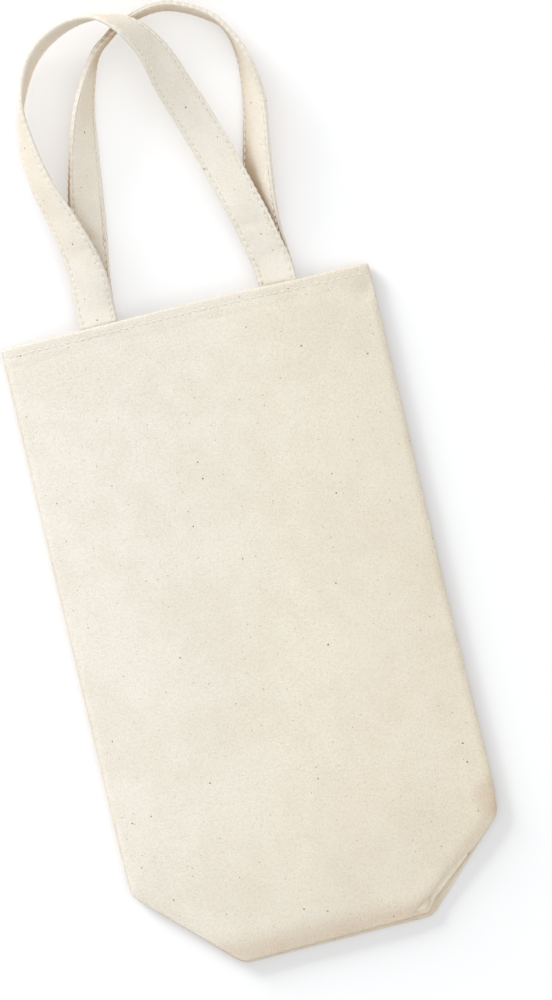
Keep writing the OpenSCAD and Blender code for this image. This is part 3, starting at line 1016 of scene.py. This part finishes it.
def straight_strap(name, long, creases, seed):
    """A strap of that length made straight, with creases as (place, depth, width, slant)."""
    section = strap_section()
    section = np.vstack([section, section[:1]])
    around = gone_along(section)
    along = np.linspace(0, long, int(long / RING_STEP))
    s, a = np.meshgrid(along, section[:, 0], indexing="ij")
    b = np.tile(section[:, 1], (len(along), 1))
    inside = pillow((STRAP_W / 2 - abs(a)) / 3)
    offset = 0.22 * ripple(s, a, 16, seed) * inside + 0.1 * ripple(s, a, 6, seed + 2) * inside
    for place, depth, width, slant in creases:
        offset = offset - depth * bump(s - place - slant * a, width) * inside
    at_hole = (1 + np.cos((s - ROW_START) * (2 * math.pi / STITCH_PITCH))) / 2
    pinch = 0.14 * at_hole * bump(abs(a) - STRAP_ROW, 0.7) * np.sign(b)
    drawn_in = 0.3 * at_hole * ease((abs(a) - STRAP_ROW) / 1.5) * np.sign(a)
    wander = 0.22 * ripple(along, np.zeros_like(along), 21, seed + 5)[:, None]
    places = np.stack([s, a - drawn_in + wander, b - pinch + offset], axis=2)
    cut = np.stack([s, np.tile(around, (len(along), 1))], axis=2)
    return cloth_grid(name, places - [0, FOLD_Y / MM, 0], cut)


# %% [markdown]
# The routes are places across the bag and past the mouth, as shares of half the distance between a
# handle's feet and of its reach. Each place also has a turn, which leans the strap over towards its edge,
# and a lift where one strap lies on the other.

# %% The routes of the two loops
FRONT_ROUTE = [
    (-1, 0), (-0.99, 0.15), (-1.09, 0.31), (-1.24, 0.47), (-1.31, 0.63), (-1.26, 0.775), (-1.04, 0.91),
    (-0.69, 0.985), (-0.3, 1), (0, 0.95), (0.24, 0.846), (0.405, 0.695), (0.625, 0.493),
    (0.81, 0.282), (0.93, 0.126), (1, 0)]
BACK_ROUTE = [
    (-1, 0), (-0.97, 0.12), (-0.88, 0.29), (-0.8, 0.438), (-0.71, 0.583), (-0.59, 0.725), (-0.39, 0.862),
    (-0.2, 0.919), (0.01, 0.959), (0.32, 0.986), (0.58, 0.978), (0.9, 0.926), (1.09, 0.862), (1.2, 0.75),
    (1.21, 0.605), (1.11, 0.431), (1.02, 0.279), (0.98, 0.158), (1, 0)]
FRONT_TURNS = [0, -20, -42, -57, -70, -92, -102, -101, -90, -62, -40, -18, 0, 3, 2, 0]
BACK_TURNS = [0, 2, 14, 30, 46, 64, 81, 85, 84, 82, 82, 83, 88, 75, 57, 47, 33, 16, 0]
FRONT_LIFTS = [0, 0.2, 0.39, 0.34, 0.17, 0.05, 0.05, 0.4, 0.9, 1.08, 0.91, 0.57, 0.3, 0.245, 0.1, 0]
BACK_LIFTS = [0] * len(BACK_ROUTE)
GROUND_GAP = 0.4
LOOP_STEPS = 1200


def smooth_path(points, t):
    """Places on a smooth curve through the points, where t counts points from the first."""
    before, after = points[1].copy(), points[-2].copy()
    before[1], after[1] = 2 * points[0][1] - before[1], 2 * points[-1][1] - after[1]
    points = np.vstack([before, points, after])
    i = np.minimum(t.astype(int), len(points) - 4)
    f = (t - i)[:, None]
    a, b, c, d = (points[i + k] for k in range(4))
    return (2 * b + (c - a) * f + (2 * a - 5 * b + 4 * c - d) * f ** 2 + (3 * b - a - 3 * c + d) * f ** 3) / 2


def strap_route(route, turns, lifts, foot_z):
    """A whole strap's route: a sewn-in end, the loop and the other end."""
    start_y = BAG_H + BEND_OUT
    points = []
    for (across, reach), turn, lift in zip(route, turns, lifts):
        lean = math.radians(turn)
        resting = GROUND_GAP + abs(math.sin(lean)) * STRAP_W / 2 + abs(math.cos(lean)) * STRAP_T / 2
        z = foot_z if reach == 0 else max(foot_z, resting) + lift * STRAP_W
        points.append([FOOT_MIDDLE + across * FOOT_SPACING / 2,
                       start_y + reach * (BAG_H + REACH - start_y), z, turn])
    points = np.array(points, float)
    loop = smooth_path(points, np.linspace(0, len(points) - 1, LOOP_STEPS))
    tail_y = np.linspace(BAG_H - TAIL, start_y, 60)[:-1]
    tail = lambda end: np.column_stack(
        [np.full_like(tail_y, end[0]), tail_y, np.full_like(tail_y, end[2]), np.zeros_like(tail_y)])
    whole = np.vstack([tail(points[0]), loop, tail(points[-1])[::-1]])
    at, lean = whole[:, :3], np.radians(whole[:, 3:4])
    run = unit(np.gradient(at, axis=0))
    flat = unit(np.stack([-run[:, 1], run[:, 0], np.zeros(len(run))], axis=1))
    wide = flat * np.cos(lean) + np.cross(run, flat) * np.sin(lean)
    return Route(at, wide, np.cross(run, wide))


front_route = strap_route(FRONT_ROUTE, FRONT_TURNS, FRONT_LIFTS, FRONT_FOOT_Z)
back_route = strap_route(BACK_ROUTE, BACK_TURNS, BACK_LIFTS, BACK_FOOT_Z)
print(f"Straps {front_route.long:.0f} and {back_route.long:.0f} mm long with their sewn-in ends")

# %% Straps and their thread
BLEND_LONG = 13
THREAD_SUNK = 0.12
front_end = front_route.long - TAIL
back_end = back_route.long - TAIL
FRONT_CREASES = [
    (front_end - 14, 0.18, 2.6, 0.12), (front_end - 30, 0.3, 2.6, 0.2), (TAIL + 34, 0.25, 2.8, -0.2)]
BACK_CREASES = [(TAIL + 40, 0.3, 2.4, 0.15), (back_end - 52, 0.3, 2.2, -0.1)]


def strap_thread(name, route):
    """The four rows of thread on a strap: along both its edges, on both its faces."""
    out = STRAP_T / 2 - THREAD_SUNK
    rows = [laid_row(route, name, ROW_START, route.long - ROW_START, edge * STRAP_ROW, face * out)
            for edge in (-1, 1) for face in (-1, 1)]
    return joined(name, *rows)


def hinge_blend(piece, foot_z):
    """Bakes the piece's place into its mesh. Where the first stretch past the mouth, over which the cloth
    would bend as its handle swings, starts and ends is worked out but not used.
    """
    start = in_frame([FOOT_MIDDLE, BAG_H - 1, foot_z])
    end = in_frame([FOOT_MIDDLE, BAG_H - 1 + BLEND_LONG, foot_z])
    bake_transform(piece)


for side, route, creases, seed, foot_z in (
        ("front", front_route, FRONT_CREASES, 11.0, FRONT_FOOT_Z),
        ("back", back_route, BACK_CREASES, 23.0, BACK_FOOT_Z)):
    strap = straight_strap(f"{side}_strap", route.long, creases, seed)
    move_vertices(strap, vertices_of(strap) / MM)
    strap = sewn(f"{side}_strap", route.lay(strap))
    with editing_all():
        bpy.ops.mesh.fill_holes(sides=0)
        bpy.ops.mesh.normals_make_consistent(inside=False)
    bpy.ops.object.shade_smooth()
    finish_piece(strap, strap_cotton[side], "strap_cotton", f"{side}_handle", f"{side}_handle_ends")
    hinge_blend(strap, foot_z)
    thread = strap_thread(f"{side}_strap_thread", route)
    finish_piece(thread, thread_finish, "thread", f"{side}_handle_stitching")
    hinge_blend(thread, foot_z)

# %% [markdown]
# ## Overlocked edges inside
#
# The cut edges inside the bag are bound by overlock thread, which loops round them all along the seam. It
# is one long curve with a round section, turned into a mesh.

# %% Overlock thread
OVERLOCK_PITCH = 2.4
OVERLOCK_REACH = 5.0
OVERLOCK_HALF = CLOTH + 0.2
OVERLOCK_LOOP = (
    (OVERLOCK_REACH, 1), (2, 1.05), (0, 0.9), (-0.5, 0), (0, -0.9), (2, -1.05), (OVERLOCK_REACH, -1))
OVERLOCK_R = 0.16


def overlock(name, path, inward, z, half=OVERLOCK_HALF):
    """Thread looped round raw edges along a path, with inward the way from the raw edge to the seam."""
    path, inward = np.asarray(path, float), np.asarray(inward, float)
    gone = gone_along(path)
    points = []
    for s in np.arange(0, gone[-1], OVERLOCK_PITCH):
        n = unit(at_length(s, gone, inward))
        step = np.array([-n[1], n[0]]) * OVERLOCK_PITCH / 5
        for k, (reach, height) in enumerate(OVERLOCK_LOOP):
            x, y = at_length(s, gone, path) + n * reach + step * (k / 6)
            points.append([x, y, z(x, y) + half * height])
    curve = bpy.data.curves.new(name, "CURVE")
    curve.dimensions = "3D"
    curve.bevel_depth = OVERLOCK_R * MM
    curve.bevel_resolution = 1
    line = curve.splines.new("POLY")
    line.points.add(len(points) - 1)
    placed = in_frame(settle(points))
    line.points.foreach_set("co", np.column_stack([placed, np.ones(len(placed))]).ravel())
    piece = bpy.data.objects.new(name, curve)
    bpy.context.scene.collection.objects.link(piece)
    pick(piece)
    bpy.ops.object.convert(target="MESH")
    piece = bpy.context.object
    if not piece.data.uv_layers:
        piece.data.uv_layers.new(name="UVMap")
    lay_pattern(piece, vertices_of(piece)[:, :2])
    bpy.ops.object.shade_smooth()
    return piece


def slit_height(x, y):
    """Height of the slit between the two folded halves of the base."""
    return base_height(x, y, 0)


CORNER_X = 36
CORNER_SPAN = (18, 41)
CORNER_APART = 1.7
CORNER_HALF = 0.7
SIDE_END = 44
BOTTOM_END = 42
raw_x = HALF_W - SEAM_W
raw_y = FOLD_IN + SEAM_W
for side, label in ((-1, "left"), (1, "right")):
    path = [(side * x, y) for x, y in (
        (raw_x, BAG_H - HEM_W - 2), (raw_x, raw_y + 3), (raw_x - 3, raw_y), (SIDE_END, raw_y))]
    inward = [(side, 0), (side, 0), (0, -1), (0, -1)]
    seam = overlock(f"{label}_overlock", path, inward, slit_height)
    finish_piece(seam, thread_finish, "overlocked_edge", f"{label}_side_seam")
    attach(seam, "bag")
    corner = [(side * CORNER_X, y) for y in CORNER_SPAN]
    halves = [
        overlock(f"{label}_corner_{up}", corner, [(side, 0), (side, 0)],
                 lambda x, y, up=up: slit_height(x, y) + up * CORNER_APART, half=CORNER_HALF)
        for up in (-1, 1)]
    corner_thread = joined(f"{label}_corner_overlock", *halves)
    finish_piece(corner_thread, thread_finish, "overlocked_edge", f"{label}_corner_seam")
    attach(corner_thread, "bag")
bottom = overlock(
    "bottom_overlock", [(-BOTTOM_END, raw_y), (BOTTOM_END, raw_y)], [(0, -1), (0, -1)], slit_height)
finish_piece(bottom, thread_finish, "overlocked_edge", "bottom_seam")
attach(bottom, "bag")

# %% [markdown]
# ## The size of the cut
#
# Each panel's cut is worked out and printed, with its area less the 8 % that goes for the corners of the
# base.

CUT_WIDE = 2 * (HALF_W + SEAM_W) * MM
CUT_LONG = (BAG_H + HEM_W + FOLD_IN + SEAM_W) * MM
CORNERS_LEAVE = 0.92
CUT_AREA = CORNERS_LEAVE * CUT_WIDE * CUT_LONG
print(f"Each panel is cut {CUT_WIDE:.3f} x {CUT_LONG:.3f} m, {CUT_AREA:.4f} square metres")
